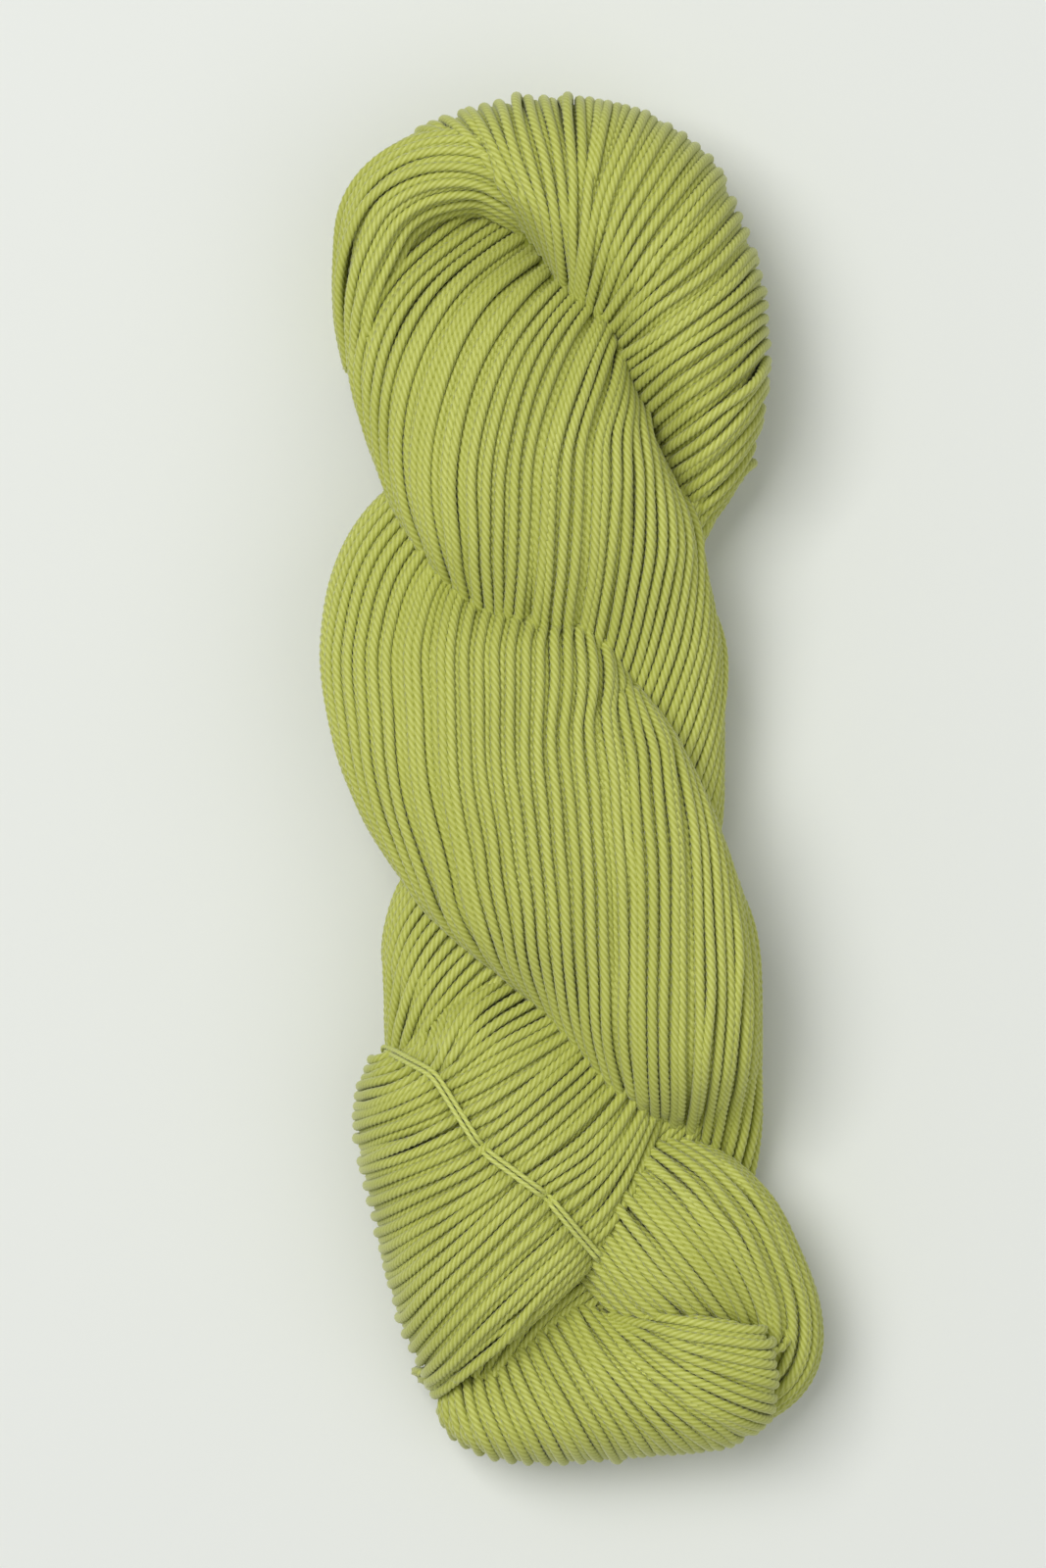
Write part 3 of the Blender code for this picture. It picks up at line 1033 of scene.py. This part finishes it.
@dataclass(frozen=True)
class Placing:
    """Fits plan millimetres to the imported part's box."""

    low: Vector
    high: Vector

    def to_frame(self, points: np.ndarray) -> np.ndarray:
        """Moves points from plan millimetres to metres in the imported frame."""
        share = (points - np.array(PLAN_LOW)) / np.subtract(PLAN_HIGH, PLAN_LOW)
        return np.array(self.low) + share * np.subtract(self.high, self.low)


@dataclass
class Skein:
    """All the wound yarn: its bundles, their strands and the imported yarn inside."""

    gauge: YarnGauge
    finish: PliedYarnFinish
    # The core's finish is darker than the yarn on show: painted shade for the depths under the strands.
    core_painted_shade_finish: PliedYarnFinish
    presses: list[Press]
    hidden_depth: float = 1.5
    core_depth: float = 2.5
    core_voxel: float = 2.0
    under_coarse: float = 2.2
    laid: list[np.ndarray] = field(default_factory=list)

    def top_at(self, x: float, y: float, reach: float = 1.3) -> float:
        """The height of the highest strand's middle within reach of a place in plan."""
        near = [run[np.hypot(run[:, 0] - x, run[:, 1] - y) < reach, 2] for run in self.laid]
        return float(np.concatenate(near).max(initial=TABLE_REST))

    def bundles(self) -> list[Bundle]:
        """The skein's bundles, from the fold down."""
        return [
            FannedLobe("fold_lobe", 88, 11, FOLD_RIBS, shoulder=0.55, drift=0.0),
            TwistedPly("fold_shoulder", 52, 12, SHOULDER),
            TwistedPly("first_ply", 92, 13, FIRST_PLY),
            TwistedPly("second_ply", 98, 14, SECOND_PLY),
            FannedLobe("tucked_loop_fan", 62, 15, FAN_RIBS, shoulder=0.5, drift=1.0),
            TwistedPly("outer_loop_leg", 68, 16, OUTER_END),
            FannedLobe("outer_loop_end", 58, 17, END_RIBS, shoulder=0.42, drift=0.0),
            TwistedPly("outer_loop_back", 46, 18, BACK_LEG),
        ]

    def build(self, place: Placing) -> list[bpy.types.Object]:
        """Makes every strand piece and the core.

        Args:
            place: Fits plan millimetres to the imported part.

        Returns:
            The pieces made.
        """
        bundles = self.bundles()
        lays = [bundle.lay() for bundle in bundles]
        shells = [bundle.hull(self.hidden_depth) for bundle in bundles]
        trees = [BVHTree.FromPolygons(p.tolist(), f.tolist()) for p, f in shells]
        winder = StrandWinder(self.gauge, self.presses)
        maker = YarnMaker(self.gauge, self.finish.material())
        pieces = []
        for number, (bundle, lay) in enumerate(zip(bundles, lays)):
            others = [tree for index, tree in enumerate(trees) if index != number]
            for course in Course:
                runs = winder.visible_runs(winder.wind(bundle, lay, course), others)
                if course is Course.OUTER:
                    self.laid += runs
                pieces += self.make_pieces(bundle, course, runs, maker, place)
        pieces.append(self.make_core(bundles, place))
        return pieces

    def make_pieces(
        self, bundle: Bundle, course: Course, runs: list[np.ndarray], maker: YarnMaker,
        place: Placing,
    ) -> list[bpy.types.Object]:
        """Splits a course into pieces that each stay small enough.

        Args:
            bundle: The bundle they belong to.
            course: The course they are of.
            runs: Their paths.
            maker: Makes the yarn.
            place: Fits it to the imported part.

        Returns:
            The pieces.
        """
        gauge = self.gauge
        coarse = 1.0 if course is Course.OUTER else self.under_coarse
        per_mm = FACES_PER_PLY * gauge.plies / (gauge.step * coarse)
        most = MOST_TRIANGLES / per_mm
        groups, length = [[]], 0.0
        for run in runs:
            own = np.linalg.norm(np.diff(run, axis=0), axis=1).sum()
            if length + own > most:
                groups.append([])
                length = 0.0
            groups[-1].append(place.to_frame(run))
            length += own
        made = []
        for number, group in enumerate(groups, 1):
            if not group:
                continue
            name = f"{bundle.name}_{course.value}_{number}"
            made.append(maker.make(name, group, bundle.seed + number, coarse))
        return made

    def make_core(self, bundles: list[Bundle], place: Placing) -> bpy.types.Object:
        """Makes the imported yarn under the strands, as one closed body.

        Args:
            bundles: The bundles that it fills.
            place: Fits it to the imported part.

        Returns:
            The core.
        """
        points, faces, start = [], [], 0
        for bundle in bundles:
            shell_points, shell_faces = bundle.hull(self.core_depth)
            points.append(place.to_frame(shell_points))
            faces.append(shell_faces + start)
            start += len(shell_points)
        data = bpy.data.meshes.new("packed_core")
        data.from_pydata(np.vstack(points).tolist(), [], np.vstack(faces).tolist())
        core = linked("packed_core", data)
        fuse = core.modifiers.new("fuse", "REMESH")
        fuse.mode = "VOXEL"
        fuse.voxel_size = self.core_voxel * MM
        graph = bpy.context.evaluated_depsgraph_get()
        core.data = bpy.data.meshes.new_from_object(core.evaluated_get(graph))
        core.modifiers.clear()
        core.data.name = "packed_core"
        core.data.materials.clear()
        # The core is coloured darker than the same yarn on show: painted shade for the depths under the
        # strands.
        core.data.materials.append(self.core_painted_shade_finish.material())
        core.data.shade_smooth()
        return core


@dataclass
class LacedTie:
    """The thin tie: two parallel strands laced over the tucked loop's neck."""

    gauge: YarnGauge
    finish: PliedYarnFinish
    over: tuple[tuple[float, float], ...]
    beneath: list[tuple[float, float, float]]
    spread: float = 0.5
    sunk: float = 1.9
    sunk_reach: float = 1.3
    route_spacing: float = 1.0
    ring_spacing: float = 0.9

    # Passes of easing: of the route, of the line it spans and of its height.
    EASING = (4, 12, 6)
    RING_STEPS = 4
    SEED = 77

    def path(self, skein: Skein) -> np.ndarray:
        """The ring that the tie makes: over the strands on show, and back beneath.

        Args:
            skein: The skein, with its strands laid.

        Returns:
            The ring's points, in plan millimetres.
        """
        route = eased(even_rows(np.array(self.over), self.route_spacing, 2), self.EASING[0])
        rest = (skein.gauge.diameter + self.gauge.diameter) / 2
        tops = np.array([skein.top_at(x, y) for x, y in route]) + rest
        # The tie is tight, so it spans the hollows between strands.
        spanned = np.maximum(tops, eased(tops, self.EASING[1]))
        height = eased(spanned[:, None], self.EASING[2])[:, 0]
        # It sinks between the strands at the two places where its halves lock.
        for lock in self.over[2:4]:
            away = np.hypot(*(route - lock).T)
            height -= self.sunk * np.exp(-((away / self.sunk_reach) ** 2))
        ring = np.vstack([np.column_stack([route, height]), self.beneath])
        closed = np.vstack([ring, ring[:3]])
        return even_rows(smooth_steps(closed, self.RING_STEPS), self.ring_spacing)

    def build(self, skein: Skein, place: Placing) -> bpy.types.Object:
        """Makes both strands of the tie as one piece.

        Args:
            skein: The skein, with its strands laid.
            place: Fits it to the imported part.

        Returns:
            The tie.
        """
        path = self.path(skein)
        side = unit(np.cross(unit(np.gradient(path, axis=0)), np.array([0, 0, 1.0])))
        runs = [place.to_frame(path + side * self.spread * way) for way in (-1, 1)]
        maker = YarnMaker(self.gauge, self.finish.material(), name="tie_yarn_maker")
        return maker.make("laced_tie", runs, self.SEED)


@dataclass
class Studio:
    """A plain pale floor, soft studio light and a camera that looks straight down."""

    frame_height: float = 0.2976
    centre: tuple[float, float] = (-0.0096, -0.0003)
    distance: float = 1.1
    focus_height: float = 0.025
    floor_reach: float = 3.0
    air: tuple[float, ...] = (0.95, 0.97, 1.0, 1.0)
    air_strength: float = 0.375

    def build(self) -> None:
        """Makes the floor, the lights and the camera."""
        self.make_floor()
        self.make_light("key", at=(-0.75, 0.55, 2.1), size=1.2, power=34.5)
        self.make_light("fill", at=(1.0, -0.6, 2.1), size=2.0, power=8.5)
        world = bpy.data.worlds.new("studio_air")
        world.use_nodes = True
        background = world.node_tree.nodes["Background"].inputs
        background["Color"].default_value = self.air
        background["Strength"].default_value = self.air_strength
        bpy.context.scene.world = world
        bpy.context.scene.view_settings.view_transform = "Standard"
        self.make_camera()

    def make_floor(self) -> None:
        """A matt, pale floor under the skein."""
        data = bpy.data.meshes.new("floor")
        reach = self.floor_reach
        corners = [(-reach, -reach, 0), (reach, -reach, 0), (reach, reach, 0), (-reach, reach, 0)]
        data.from_pydata(corners, [], [(0, 1, 2, 3)])
        floor = linked("floor", data)
        # Matt paper, off-white with a little green in it.
        material = bpy.data.materials.new("pale_backdrop_paper")
        material.use_nodes = True
        shader = material.node_tree.nodes["Principled BSDF"]
        shader.inputs["Base Color"].default_value = linear("#E4E6E0")
        shader.inputs["Roughness"].default_value = 0.9
        data.materials.append(material)

    def make_light(self, name: str, at: tuple[float, ...], size: float, power: float) -> None:
        """A square soft light aimed at the skein.

        Args:
            name: The light's name.
            at: Where it stands, in metres.
            size: The length of its side, in metres.
            power: Its power, in watts.
        """
        data = bpy.data.lights.new(name, "AREA")
        data.size = size
        data.energy = power
        light = linked(name, data)
        light.location = at
        light.rotation_euler = (-Vector(at)).to_track_quat("-Z", "Y").to_euler()

    def make_camera(self) -> None:
        """A long lens straight above."""
        data = bpy.data.cameras.new("camera")
        data.sensor_width = 36.0
        data.lens = data.sensor_width * self.distance / self.frame_height
        camera = linked("camera", data)
        camera.location = (*self.centre, self.distance + self.focus_height)
        bpy.context.scene.camera = camera


def report(piece: bpy.types.Object) -> None:
    """Logs one piece and its size."""
    log.info("%s: %d faces", piece.name, len(piece.data.polygons))


def main() -> None:
    """Builds the skein, its tie and the studio."""
    logging.basicConfig(level=logging.INFO, format="%(message)s")
    Studio().build()
    place = Placing(*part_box(YARN_NODE))
    gauge = YarnGauge()
    # Each finish's groove colour is painted shade between the plies.
    yarn = PliedYarnFinish("plied_wool_yarn", crest="#CED379", groove="#AAAF42", dark="#A2A83F")
    # The core is the same yarn; its darker colour is painted shade for the depths under the strands.
    core = PliedYarnFinish("packed_yarn_painted_shade", crest="#848B2E", groove="#848B2E", dark="#747B26")
    skein = Skein(gauge, yarn, core, PRESSES)
    for piece in skein.build(place):
        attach(piece, BODY)
        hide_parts(YARN_NODE)
        report(piece)
    thin = YarnGauge(diameter=1.0, plies=3, pitch=4.4, groove=0.8, step=0.6)
    # The tie's groove colour is also painted shade between its plies.
    smooth = PliedYarnFinish("smooth_tie_yarn", crest="#D2D880", groove="#BCC25A", dark="#AEB44E")
    tie = LacedTie(thin, smooth, TIE_OVER, TIE_BENEATH).build(skein, place)
    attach(tie, BODY)
    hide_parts(TIE_NODE)
    report(tie)


if __name__ == "__main__":
    main()
